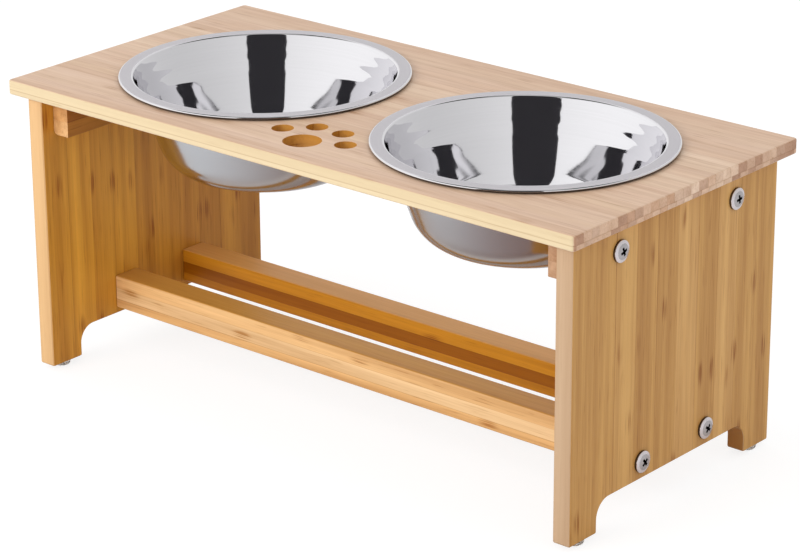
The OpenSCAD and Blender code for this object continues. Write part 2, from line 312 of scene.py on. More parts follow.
    # Bands, fibres and dashes: noise drawn out along the grain, different in each strip
    start = add_node(tree, "ShaderNodeMath", {0: offset, 1: grain_start, 2: along}, operation="MULTIPLY_ADD")
    point = add_node(tree, "ShaderNodeCombineXYZ", {0: start, 1: across, 2: through})
    noises = {}
    for grain, (length, thick, darkest, ended, most) in grains.items():
        drawn = add_node(tree, "ShaderNodeVectorMath", {0: point, 1: (1 / length, 1 / thick, 1 / thick)},
                         operation="MULTIPLY")
        noises[grain] = add_node(tree, "ShaderNodeTexNoise", {
            "Vector": drawn, "Scale": 1.0, "Detail": grain_detail, "Roughness": grain_roughness})
        part = add_node(tree, "ShaderNodeMapRange", {0: noises[grain], 1: darkest, 2: ended, 3: most, 4: 0.0})
        dark = add_node(tree, "ShaderNodeMath", {0: dark, 1: part}, operation="ADD")
    fibres = noises["fibres"]

    # Knuckles: a small brown smudge along the grain in some cells of a wide face
    spread = add_node(tree, "ShaderNodeCombineXYZ", {0: along, 1: across})
    spread = add_node(tree, "ShaderNodeVectorMath", {
        0: spread, 1: (1 / knuckle_cell[0], 1 / knuckle_cell[1], 0), 2: (seed, seed, 0)},
        operation="MULTIPLY_ADD")
    spots = add_node(tree, "ShaderNodeTexVoronoi", {"Vector": spread, "Scale": 1.0}, voronoi_dimensions="2D")
    spot_rand = add_node(tree, "ShaderNodeSeparateColor", {0: spots.outputs["Color"]})
    smudge = add_node(tree, "ShaderNodeMapRange", {0: spots, 1: 0.0, 2: knuckle_reach, 3: 1.0, 4: 0.0},
                      interpolation_type="SMOOTHSTEP")
    shown = add_node(tree, "ShaderNodeMapRange", {
        0: spot_rand, 1: knuckle_shows[0], 2: knuckle_shows[1], 3: 0.0, 4: knuckles})
    ragged = add_node(tree, "ShaderNodeMapRange", {
        0: fibres, 1: knuckle_fibres[0], 2: knuckle_fibres[1], 3: 1.0, 4: knuckle_least})
    for part in (shown, ragged):
        smudge = add_node(tree, "ShaderNodeMath", {0: smudge, 1: part}, operation="MULTIPLY")
    for part in turned:
        wide = add_node(tree, "ShaderNodeMath", {0: 1.0, 1: part}, operation="SUBTRACT")
        smudge = add_node(tree, "ShaderNodeMath", {0: smudge, 1: wide}, operation="MULTIPLY")
    dark = add_node(tree, "ShaderNodeMath", {0: dark, 1: smudge}, operation="ADD", use_clamp=True)

    # Edges are cut along the fibres and show about half of all this
    calm = add_node(tree, "ShaderNodeMath", {0: is_edge, 1: -edge_calm, 2: 1.0}, operation="MULTIPLY_ADD")
    dark = add_node(tree, "ShaderNodeMath", {0: dark, 1: calm}, operation="MULTIPLY")

    # Tones of the wide faces, of the edges and of the sawn ends, which face along the grain
    for codes, part in zip(tones, (None, is_edge, is_end)):
        ramp = add_node(tree, "ShaderNodeValToRGB", {0: tone})
        stops = ramp.color_ramp.elements
        while len(stops) < len(codes):
            stops.new(0.5)
        for i, code in enumerate(codes):
            stops[i].position = i / (len(codes) - 1)
            stops[i].color = linear(code)
        if part is None:
            colour = ramp.outputs[0]
        else:
            mixed = add_node(tree, "ShaderNodeMix", {0: part, 6: colour, 7: ramp}, data_type="RGBA")
            colour = mixed.outputs[2]
    shaded = add_node(tree, "ShaderNodeMix", {0: dark, 6: colour, 7: stain},
                      data_type="RGBA", blend_type="MULTIPLY")

    # Lacquer: satin, a little duller over the open fibres, which show as fine ridges
    gloss = add_node(tree, "ShaderNodeMapRange", {
        0: fibres, 1: fibre_range[0], 2: fibre_range[1], 3: roughness[0], 4: roughness[1]})
    height = add_node(tree, "ShaderNodeMath", {0: line, 1: groove, 2: fibres}, operation="MULTIPLY_ADD")
    bump = add_node(tree, "ShaderNodeBump", {"Strength": ridge_strength, "Distance": ridge, "Height": height})
    surface = add_node(tree, "ShaderNodeBsdfPrincipled", {
        "Base Color": shaded.outputs[2], "Roughness": gloss, "IOR": lacquer_ior,
        "Specular IOR Level": lacquer_specular, "Normal": bump})
    add_node(tree, "ShaderNodeOutputMaterial", {0: surface})
    return material


for side, outward in (("left", -1), ("right", 1)):
    low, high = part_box(side + "_panel")
    panel = new_board(side + "_side_panel", low, high)
    arch = new_board(
        "arch",
        Vector((low.x - PAST, low.y + FOOT_WIDTH, low.z - PAST)),
        Vector((high.x + PAST, high.y - FOOT_WIDTH, low.z + ARCH_HEIGHT)),
    )
    arch_top = low.z + ARCH_HEIGHT - MM
    round_edges(
        arch, ARCH_RADIUS, ARCH_STEPS,
        lambda e: min(v.co.z for v in e.verts) > arch_top and abs(e.verts[0].co.x - e.verts[1].co.x) > MM,
    )
    panel_width = high.y - low.y
    woods = []
    for kind, faces, edges in (
        ("outer", OUTER_FACES, PANEL_EDGES[side]),
        ("inner", INNER_FACES_PAINTED_SHADE, PANEL_EDGES[side]),
        ("sawn", SAWN_EDGES, SAWN_EDGES),
    ):
        woods.append(bamboo(
            kind + "_bamboo_" + side + "_panel", UPRIGHT, low, panel_width / PANEL_STRIPS, PANEL_LAYER,
            (faces, edges, PANEL_ENDS), PANEL_SEEDS[side],
            row=(panel_width, PANEL_SPACING, PANEL_LEVELS[side]),
            lines=0.3, knuckles=0.85, stagger=0.0, uneven=0.0))
    outer_bamboo, inner_bamboo_painted_shade, sawn_bamboo_painted_shade = woods
    dress(panel, outer_bamboo)
    dress(arch, sawn_bamboo_painted_shade)
    cut(panel, arch)
    panel_top = high.z - MM
    round_edges(panel, EASED, EASED_STEPS, lambda e: is_sharp(e) and min(v.co.z for v in e.verts) < panel_top)
    for half, z in (UPPER_BOLTS, LOWER_BOLTS):
        for y in (-half, half):
            ends = [Vector((x, y, z)) for x in (low.x - PAST, high.x + PAST)]
            drill(panel, *ends, BOLT_HOLE_RADIUS, material=sawn_bamboo_painted_shade)
    settle(panel)
    # The inner faces take the more amber tones, which are painted shade
    panel.data.materials.append(inner_bamboo_painted_shade)
    inner_slot = len(panel.data.materials) - 1
    for face in panel.data.polygons:
        if face.normal.x * outward < -FACING:
            face.material_index = inner_slot
    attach(panel, "stand")
    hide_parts(side + "_panel")

# Battens: two bamboo bars under the ends of the top, against the side panels.
# The lower edge next to the panel is rounded; the bolts' inserts sit in blind holes in the outer face.
# Each is screwed to the top from below, with the screw heads sunk in drilled holes.
BATTEN_ROUND = 3 * MM
BATTEN_ROUND_STEPS = 6
BATTEN_EASED = 0.5 * MM
BATTEN_EASED_STEPS = 2
INSERT_HOLE_RADIUS = 4.4 * MM
INSERT_HOLE_DEPTH = 10.1 * MM
SCREW_HALF_SPACING = 25 * MM
SCREW_HEAD_HOLE = 3.65 * MM
SCREW_HOLE = 1.9 * MM
SCREW_SINK = 8 * MM
LENGTHWAYS_Y = ("Y", "Z", "X")
BATTEN_STRIP = 9 * MM
BATTEN_LAYER = 30 * MM
BATTEN_SEEDS = {"left": 5.5, "right": 17.5}
# Tones of the sides, which are alike, and of the sawn ends
BATTEN_SIDES = ("#BD7B2B", "#C38433", "#B77426")
# The right batten's ends are darker than the left's, which is painted shade
BATTEN_ENDS = {"left": ("#E8B57A", "#ECBD84", "#E2AB6E"), "right": ("#CBA380", "#CFAA8A", "#C69B74")}

for side, outward in (("left", -1), ("right", 1)):
    low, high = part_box(side + "_batten")
    batten = new_board(side + "_top_batten", low, high)
    outer_x = low.x if outward < 0 else high.x
    round_edges(
        batten, BATTEN_ROUND, BATTEN_ROUND_STEPS,
        lambda e: all(abs(v.co.x - outer_x) < MM and v.co.z < low.z + MM for v in e.verts),
    )
    round_edges(batten, BATTEN_EASED, BATTEN_EASED_STEPS)
    half, z = UPPER_BOLTS
    for y in (-half, half):
        ends = [Vector((outer_x + outward * out, y, z)) for out in (-INSERT_HOLE_DEPTH, PAST)]
        drill(batten, *ends, INSERT_HOLE_RADIUS)
    middle_x = (low.x + high.x) / 2
    for y in (-SCREW_HALF_SPACING, SCREW_HALF_SPACING):
        ends = [Vector((middle_x, y, z)) for z in (low.z - PAST, low.z + SCREW_SINK)]
        drill(batten, *ends, SCREW_HEAD_HOLE)
        ends = [Vector((middle_x, y, z)) for z in (low.z, high.z + PAST)]
        drill(batten, *ends, SCREW_HOLE)
    settle(batten)
    dress(batten, bamboo(
        "laminated_bamboo_" + side + "_batten", LENGTHWAYS_Y, low, BATTEN_STRIP, BATTEN_LAYER,
        (BATTEN_SIDES, BATTEN_SIDES, BATTEN_ENDS[side]), BATTEN_SEEDS[side],
        lines=0.3, sawn_lines=0.0, knuckles=0.3))
    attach(batten, "stand")
    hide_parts(side + "_batten")

# Rails: two square bamboo bars between the side panels, glued up from three strips each.
# All four long edges are eased, and the ends butt against the panels, held by the lower bolts.
RAIL_STRIPS = 3
RAIL_LAYER = 60 * MM
# The lowest strip is the thinnest: the borders are at about 27 and 62 percent of the height
RAIL_SPACING = 0.85
RAIL_SEEDS = {"front": 2.5, "rear": 8.5}
LENGTHWAYS_X = ("X", "Z", "Y")
# Tone of each strip from the lowest up, as a share of the way through the tones below;
# the rear rail is browner and darker except at its back, which is like the front rail: painted shade,
# and its darkest middle strip is partly the lamination and partly painted shade
RAIL_LEVELS = {"front": (0.1, 0.9, 0.4), "rear": (0.7, 0.0, 0.9)}
RAIL_TONES = {
    "front": (
        ("#F2BF7E", "#FACD91", "#FFDBA8"),
        ("#D89C46", "#DEA650", "#E4B05C"),
        ("#B98A58", "#C69763"),
    ),
    "rear": (
        ("#A86400", "#C9820E", "#E09C28"),
        ("#DEA054", "#E4A85C", "#EAB066"),
        ("#B98A58", "#C69763"),
    ),
}

for place in ("front", "rear"):
    low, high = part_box(place + "_rail")
    rail = new_board(place + "_stretcher_rail", low, high)
    round_edges(rail, EASED, EASED_STEPS)
    y = (low.y + high.y) / 2
    z = LOWER_BOLTS[1]
    for end_x, outward in ((low.x, -1), (high.x, 1)):
        ends = [Vector((end_x + outward * out, y, z)) for out in (-INSERT_HOLE_DEPTH, PAST)]
        drill(rail, *ends, INSERT_HOLE_RADIUS)
    settle(rail)
    rail_height = high.z - low.z
    rail.data.materials.clear()
    for kind in (place, "front"):
        rail.data.materials.append(bamboo(
            kind + "_face_bamboo_" + place + "_rail", LENGTHWAYS_X, low,
            rail_height / RAIL_STRIPS, RAIL_LAYER, RAIL_TONES[kind], RAIL_SEEDS[place],
            row=(rail_height, RAIL_SPACING, RAIL_LEVELS[kind]),
            lines=0.35, stagger=0.0, uneven=0.0))
    # Every face but the back takes the rail's own tones, which on the rear rail are painted shade
    for face in rail.data.polygons:
        face.material_index = 1 if face.normal.y > FACING else 0
    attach(rail, "stand")
    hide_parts(place + "_rail")

# Top: one board of narrow bamboo strips, glued edge to edge in a thick upper and a thin lower layer.
# Two round holes take the bowls, and a paw is drilled through the front edge: one large hole and four small.
# The edges and corners are eased all round, and the holes have a touch of chamfer.
TOP_CORNER = 2 * MM
TOP_CORNER_STEPS = 4
BOWL_X = 93 * MM
BOWL_HOLE_RADIUS = 77 * MM
BOWL_HOLE_SIDES = 160
PAW_SETBACK = 25 * MM
PAW_PAD_RADIUS = 10.5 * MM
PAW_TOE_RADIUS = 6 * MM
PAW_TOE_CIRCLE = 24.2 * MM
PAW_TOE_ANGLES = (22.5, 67.5, 112.5, 157.5)
PAW_SIDES = 64
HOLE_CHAMFER = 0.35 * MM
HOLE_CHAMFER_STEPS = 2
PILOT_DEPTH = 6.2 * MM
LYING = ("X", "Y", "Z")
TOP_STRIP = 7 * MM
# Layers are counted from half a layer, so the lower one comes out half as thick as this
TOP_LAYER = 6.2 * MM
TOP_SEED = 1.5
# Tones of the faces, the edges and the sawn ends; the faces' paleness is partly a painted sheen of the
# lacquer
TOP_TONES = (
    ("#E7C6AC", "#EBCEB3", "#E3C1A5", "#EACBB3", "#E5C5A6"),
    ("#DECAA3", "#E4D0AA", "#DAC49B"),
    ("#E0B695", "#FADDC3", "#C3977A", "#F4D2B5", "#D3A686"),
)
# Darker, browner tones on the walls of the holes: painted shade in them
HOLE_TONES_PAINTED_SHADE = (("#C68A39", "#CD9444", "#BE8230"),) * 3

low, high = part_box("top_panel")
top = new_board("feeder_top", low, high)
round_edges(top, TOP_CORNER, TOP_CORNER_STEPS, lambda e: abs(e.verts[0].co.z - e.verts[1].co.z) > MM)
round_edges(top, EASED, EASED_STEPS)
top_bamboo = bamboo(
    "laminated_bamboo_top", LYING, low, TOP_STRIP, TOP_LAYER, TOP_TONES, TOP_SEED,
    lines=0.1, plies=0.6, bands=0.3, knuckles=0.4)
hole_bamboo_painted_shade = bamboo("bamboo_painted_shade_in_drilled_holes", LYING, low, TOP_STRIP, TOP_LAYER, HOLE_TONES_PAINTED_SHADE, TOP_SEED)
dress(top, top_bamboo)
paw_y = low.y + PAW_SETBACK
holes = [(x, 0.0, BOWL_HOLE_RADIUS, BOWL_HOLE_SIDES) for x in (-BOWL_X, BOWL_X)]
holes.append((0.0, paw_y, PAW_PAD_RADIUS, PAW_SIDES))
for angle in PAW_TOE_ANGLES:
    toe_x = PAW_TOE_CIRCLE * math.cos(math.radians(angle))
    toe_y = paw_y + PAW_TOE_CIRCLE * math.sin(math.radians(angle))
    holes.append((toe_x, toe_y, PAW_TOE_RADIUS, PAW_SIDES))
for x, y, radius, sides in holes:
    ends = [Vector((x, y, z)) for z in (low.z - PAST, high.z + PAST)]
    drill(top, *ends, radius, sides, hole_bamboo_painted_shade)
round_edges(
    top, HOLE_CHAMFER, HOLE_CHAMFER_STEPS,
    lambda e: is_sharp(e) and any(
        abs((e.verts[0].co.xy - Vector((x, y))).length - radius) < HOLE_CHAMFER
        for x, y, radius, sides in holes),
)
batten_low, batten_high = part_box("right_batten")
screw_x = (batten_low.x + batten_high.x) / 2
for x in (-screw_x, screw_x):
    for y in (-SCREW_HALF_SPACING, SCREW_HALF_SPACING):
        ends = [Vector((x, y, z)) for z in (low.z - PAST, low.z + PILOT_DEPTH)]
        drill(top, *ends, SCREW_HOLE, material=hole_bamboo_painted_shade)
settle(top)
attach(top, "stand")
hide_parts("top_panel")

# Bolts: eight machine bolts with low domed heads and a cross recess, nickel plated and tumbled to a satin.
# They go through the side panels from outside into the inserts in the battens and the rails.
HEAD_RADIUS = 6 * MM
HEAD_BAND = 1.3 * MM
HEAD_EDGE = 0.35 * MM
HEAD_EDGE_STEPS = 6
HEAD_HEIGHT = 2.6 * MM
# The outer ring of the head slopes up to this radius and height, where the low dome begins
RING_INNER = 4.3 * MM
RING_HEIGHT = 1.95 * MM
DOME_STEPS = 14
SHANK_RADIUS = 3 * MM
SHANK_LENGTH = 21 * MM
SHANK_CHAMFER = 0.6 * MM
RECESS_LENGTH = 6.2 * MM
RECESS_WIDTH = 1.9 * MM
RECESS_DEPTH = 1.7 * MM
RECESS_TAPER = 0.5
BOLT_STEPS = 64
# A face of the head's band stands upright, to this share of its normal
BAND_LEAN = 0.1
# How far each bolt happened to be turned, in degrees
BOLT_TURNS = (20, 8, 38, 55)
NICKEL_GRAIN = 0.6 * MM


def arc(centre, radius, start, end, steps):
    """Points of a round in an outline, as (distance from the axis, height)."""
    angles = [math.radians(start + (end - start) * i / steps) for i in range(steps + 1)]
    return [(centre[0] + radius * math.cos(a), centre[1] + radius * math.sin(a)) for a in angles]


def lathe(name, outline, axis_x, steps):
    """Draws half a section point by point and spins it round an upright axis."""
    bpy.ops.object.select_all(action="DESELECT")
    bpy.ops.mesh.primitive_plane_add(size=MM)
    piece = bpy.context.object
    piece.name = name
    bpy.ops.object.mode_set(mode="EDIT")
    bpy.ops.mesh.select_mode(type="VERT")
    bpy.ops.mesh.merge(type="CENTER")
    bpy.ops.transform.translate(value=(axis_x + outline[0][0], 0, outline[0][1]))
    for here, there in zip(outline, outline[1:]):
        step = (there[0] - here[0], 0, there[1] - here[1])
        bpy.ops.mesh.extrude_vertices_move(TRANSFORM_OT_translate={"value": step})
    bpy.ops.mesh.select_all(action="SELECT")
    bpy.ops.mesh.spin(steps=steps, angle=2 * math.pi, center=(axis_x, 0, 0), axis=(0, 0, 1))
    bpy.ops.mesh.select_all(action="SELECT")
    bpy.ops.mesh.remove_doubles(threshold=MERGE)
    bpy.ops.mesh.normals_make_consistent(inside=False)
    bpy.ops.object.mode_set(mode="OBJECT")
    return piece


def plated_steel(name, code, roughness, grain):
    """Plated steel with a fine tumbled grain, which breaks up its reflections.

    The real grain is finer than a pixel, and it is drawn at the size given so that it shows.
    """
    detail = 3.0
    # Where the grain is low and high, and what that changes
    low, high = 0.3, 0.7
    roughness_change = 0.06
    darkest, brightest = 0.94, 1.04
    pit = 0.05 * MM
    pit_strength = 0.06
    material, tree = new_material(name)
    place = add_node(tree, "ShaderNodeTexCoord")
    noise = add_node(tree, "ShaderNodeTexNoise", {
        "Vector": place.outputs["Object"], "Scale": 1 / grain, "Detail": detail})
    gloss = add_node(tree, "ShaderNodeMapRange", {
        0: noise, 1: low, 2: high, 3: roughness - roughness_change, 4: roughness + roughness_change})
    shade = add_node(tree, "ShaderNodeMapRange", {0: noise, 1: low, 2: high, 3: darkest, 4: brightest})
    colour = add_node(tree, "ShaderNodeHueSaturation", {"Value": shade, "Color": linear(code)})
    bump = add_node(tree, "ShaderNodeBump", {"Strength": pit_strength, "Distance": pit, "Height": noise})
    surface = add_node(tree, "ShaderNodeBsdfPrincipled", {
        "Base Color": colour, "Metallic": 1.0, "Roughness": gloss, "Normal": bump})
    add_node(tree, "ShaderNodeOutputMaterial", {0: surface})
    return material


# The ring's light tone is a painted highlight, and the dome's greyer copy of the plate is painted shade
ring_nickel = plated_steel("satin_nickel_plate", "#E6DFE0", roughness=0.18, grain=NICKEL_GRAIN)
dome_nickel_painted_shade = plated_steel("satin_nickel_plate_painted_shade_on_dome", "#BDB9B9", roughness=0.24, grain=NICKEL_GRAIN)
# The band round the head is painted dark: painted shade and a painted dark reflection of the wood beside it
band_nickel_painted_shade = plated_steel("nickel_plate_painted_shade_on_band", "#5E5550", roughness=0.4, grain=NICKEL_GRAIN)
# The recess is nearly black, which is painted shade in it
recess_nickel_painted_shade = plated_steel("nickel_plate_painted_shade_in_recess", "#1C1A1C", roughness=0.5, grain=NICKEL_GRAIN)
dome = HEAD_HEIGHT - RING_HEIGHT
dome_radius = (RING_INNER ** 2 + dome ** 2) / (2 * dome)
dome_reach = math.degrees(math.asin(RING_INNER / dome_radius))
edge = (HEAD_RADIUS - HEAD_EDGE, HEAD_BAND - HEAD_EDGE / 2)
ring_slope = math.degrees(math.atan2(RING_HEIGHT - HEAD_BAND, HEAD_RADIUS - RING_INNER))
bolt_outline = [(0, -SHANK_LENGTH), (SHANK_RADIUS - SHANK_CHAMFER, -SHANK_LENGTH)]
bolt_outline += [(SHANK_RADIUS, SHANK_CHAMFER - SHANK_LENGTH), (SHANK_RADIUS, 0), (HEAD_RADIUS, 0)]
bolt_outline += arc(edge, HEAD_EDGE, 0, 90 - ring_slope, HEAD_EDGE_STEPS)
bolt_outline += arc((0, HEAD_HEIGHT - dome_radius), dome_radius, 90 - dome_reach, 90, DOME_STEPS)[:-1]
bolt_outline.append((0, HEAD_HEIGHT))
bolt = lathe("bolt", bolt_outline, 0, BOLT_STEPS)
for plate in (ring_nickel, band_nickel_painted_shade, dome_nickel_painted_shade):
    bolt.data.materials.append(plate)
for face in bolt.data.polygons:
    # Upright faces of the band take the dark plate, which is painted shade
    if abs(face.normal.z) < BAND_LEAN and 0 < face.center.z < HEAD_BAND:
        face.material_index = 1
    elif face.center.z > RING_HEIGHT:
        face.material_index = 2
for turn in (0, 90):
    slot_low = Vector((-RECESS_LENGTH / 2, -RECESS_WIDTH / 2, HEAD_HEIGHT - RECESS_DEPTH))
    slot_high = Vector((RECESS_LENGTH / 2, RECESS_WIDTH / 2, HEAD_HEIGHT + MM))
    slot = new_board("recess", slot_low, slot_high)
    slot.data.materials.append(recess_nickel_painted_shade)
    bpy.ops.object.mode_set(mode="EDIT")
    bpy.ops.mesh.select_mode(type="VERT")
    bpy.ops.mesh.select_all(action="DESELECT")
    edit = bmesh.from_edit_mesh(slot.data)
    for vertex in edit.verts:
        vertex.select_set(vertex.co.z < HEAD_HEIGHT)
    bmesh.update_edit_mesh(slot.data)
    bpy.ops.transform.resize(value=(RECESS_TAPER, RECESS_TAPER, 1), center_override=(0, 0, 0))
    bpy.ops.mesh.select_all(action="SELECT")
    bpy.ops.transform.rotate(value=math.radians(turn), orient_axis="Z", center_override=(0, 0, 0))
    bpy.ops.object.mode_set(mode="OBJECT")
    cut(bolt, slot)
settle(bolt)

for side, outward in (("left", -1), ("right", 1)):
    low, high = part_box(side + "_panel")
    outer_x = low.x if outward < 0 else high.x
    turns = iter(BOLT_TURNS)
    for level, (half, z) in (("upper", UPPER_BOLTS), ("lower", LOWER_BOLTS)):
        pair = []
        for y in (-half, half):
            bpy.ops.object.select_all(action="DESELECT")
            one = bolt.copy()
            one.data = bolt.data.copy()
            bpy.context.scene.collection.objects.link(one)
            spun = Matrix.Rotation(math.radians(next(turns)), 4, "Z")
            tipped = Matrix.Rotation(math.radians(90 * outward), 4, "Y")
            one.matrix_world = Matrix.Translation((outer_x, y, z)) @ tipped @ spun
            pair.append(one)
        take(pair[0])
        pair[1].select_set(True)
        bpy.ops.object.join()
        bolts = bpy.context.object
        bolts.name = side + "_" + level + "_bolt_pair"
        bpy.ops.object.transform_apply(location=True, rotation=True, scale=True)
        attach(bolts, "stand")
        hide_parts(side + "_" + level + "_bolts")
bpy.data.objects.remove(bolt)

# Threaded inserts and batten screws: zinc plated steel, sunk in the wood where only the screw heads show.
# They stay as the CAD part has them and take a passivated zinc finish, slightly yellow and dull.
ZINC_GRAIN = 0.8 * MM

zinc = plated_steel("passivated_zinc_plate", "#BDB8A6", roughness=0.42, grain=ZINC_GRAIN)
hidden_steel = [side + kind for side in ("left", "right") for kind in ("_batten_inserts", "_batten_screws")]
hidden_steel += [place + "_rail_inserts" for place in ("front", "rear")]
for name in hidden_steel:
    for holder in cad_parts[name].material_slots:
        holder.material = zinc

# Foot pads: four clear silicone buttons with a domed edge, stuck under the feet.
# They are slightly milky, and the wood above them shows through.
PAD_RADIUS = 5 * MM
PAD_HEIGHT = 3 * MM
PAD_ROUND = 2.2 * MM
PAD_ROUND_STEPS = 8
PAD_STEPS = 48


def clear_silicone():
    """Moulded silicone rubber: clear with a milky haze, a soft gloss and a faintly uneven skin."""
    haze_size = 1.5 * MM
    haze_detail = 2.0
    low, high = 0.3, 0.7
    glossiest, dullest = 0.18, 0.34
    unevenness = 0.1 * MM
    unevenness_strength = 0.05
    material, tree = new_material("clear_silicone")
    place = add_node(tree, "ShaderNodeTexCoord")
    haze = add_node(tree, "ShaderNodeTexNoise", {
        "Vector": place.outputs["Object"], "Scale": 1 / haze_size, "Detail": haze_detail})
    dull = add_node(tree, "ShaderNodeMapRange", {0: haze, 1: low, 2: high, 3: glossiest, 4: dullest})
    bump = add_node(tree, "ShaderNodeBump", {
        "Strength": unevenness_strength, "Distance": unevenness, "Height": haze})
    surface = add_node(tree, "ShaderNodeBsdfPrincipled", {
        "Base Color": linear("#F1EFEA"), "Roughness": dull, "IOR": 1.41, "Transmission Weight": 0.75,
        "Normal": bump})
    add_node(tree, "ShaderNodeOutputMaterial", {0: surface})
    return material


silicone = clear_silicone()
pad_outline = [(0, 0)]
pad_outline += arc((PAD_RADIUS - PAD_ROUND, PAD_ROUND), PAD_ROUND, -90, 0, PAD_ROUND_STEPS)
pad_outline += [(PAD_RADIUS, PAD_HEIGHT), (0, PAD_HEIGHT)]
for side in ("left", "right"):
    for place in ("front", "rear"):
        low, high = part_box(side + "_" + place + "_pad")
        pad = lathe(side + "_" + place + "_foot_pad", pad_outline, 0, PAD_STEPS)
        settle(pad)
        pad.data.transform(Matrix.Translation(((low.x + high.x) / 2, (low.y + high.y) / 2, low.z)))
        dress(pad, silicone)
        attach(pad, "stand")
        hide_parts(side + "_" + place + "_pad")

# Bowls: two stainless steel bowls pressed from one sheet, with a flat rim and a rolled edge.
# The inside is polished like a mirror, and the rim and the outside have a satin, turned finish.
# The underside of the rim is painted dark grey, which is painted shade in the gap over the top.
# They hang in the holes of the top by the rim and lift straight out.
RIM_RADIUS = 82.75 * MM
BOWL_HEIGHT = 57.5 * MM
SHEET = 0.8 * MM
BEND_RADIUS = 75.5 * MM
NECK_RADIUS = 0.5 * MM
NECK_STEPS = 8
BEAD_RADIUS = 0.9 * MM
BEAD_STEPS = 22
WALL_LEAN = 19.5
WALL_STEPS = 42
CORNER_RADIUS = 25 * MM
CORNER_STEPS = 28
BOWL_STEPS = 192
# The press leaves a low ledge in the wall, from one depth to another, and faint rings above it
LEDGE_START = 13 * MM
LEDGE_END = 19 * MM
LEDGE = 0.5 * MM
WALL_RING = 0.06 * MM
WALL_RING_PITCH = 7 * MM
# Colour, roughness, how far the rings change it, and how uneven the sheet is under each finish
POLISH_RING = 0.9 * MM
STEELS = {
    "polished": ("#E6E5E8", 0.05, 0.015, 0.15 * MM),
    "satin": ("#E9E6EA", 0.6, 0.04, 0.0),
    "outside": ("#C5C8CB", 0.17, 0.03, 0.1 * MM),
    # Under the rim: a dark grey that is painted shade
    "rolled": ("#57504D", 0.5, 0.05, 0.0),
}

lean = math.radians(WALL_LEAN)
neck = (BEND_RADIUS, BOWL_HEIGHT - SHEET - NECK_RADIUS)
reach = CORNER_RADIUS + NECK_RADIUS
wall_run = (neck[1] - CORNER_RADIUS + reach * math.sin(lean)) / math.cos(lean)
corner_x = neck[0] - reach * math.cos(lean) - wall_run * math.sin(lean)
corner = (corner_x, CORNER_RADIUS)
bead = (RIM_RADIUS - BEAD_RADIUS, BOWL_HEIGHT - BEAD_RADIUS)
under_bead = 180 - math.degrees(math.asin((BEAD_RADIUS - SHEET) / BEAD_RADIUS))


def wall(start, end):
    """Points of the pressed wall between two points of the plain one, with its ledge and rings."""
    points = []
    lowest = neck[1] - min(start[1], end[1])
    for i in range(1, WALL_STEPS):
        r, z = (a + (b - a) * i / WALL_STEPS for a, b in zip(start, end))
        depth = neck[1] - z
        inward = min(1, max(0, (depth - LEDGE_START) / (LEDGE_END - LEDGE_START)))
        if depth > LEDGE_END:
            inward = ((lowest - depth) / (lowest - LEDGE_END)) ** 2
        ringed = math.sin(2 * math.pi * depth / WALL_RING_PITCH) if depth < LEDGE_START else 0
        points.append((r - LEDGE * inward - WALL_RING * ringed, z))
    return points


inside_corner = arc(corner, CORNER_RADIUS - SHEET, -90, -WALL_LEAN, CORNER_STEPS)
inside_neck = arc(neck, NECK_RADIUS + SHEET, 180 - WALL_LEAN, 90, NECK_STEPS)
inside = [(0, SHEET), (corner_x / 2, SHEET)]
inside += inside_corner + wall(inside_corner[-1], inside_neck[0]) + inside_neck
rolled_edge = arc(bead, BEAD_RADIUS, 90, under_bead - 360, BEAD_STEPS)
outside_neck = arc(neck, NECK_RADIUS, 90, 180 - WALL_LEAN, NECK_STEPS)
outside_corner = arc(corner, CORNER_RADIUS, -WALL_LEAN, -90, CORNER_STEPS)
outside = outside_neck + wall(outside_neck[-1], outside_corner[0]) + outside_corner
outside += [(corner_x / 2, 0), (0, 0)]


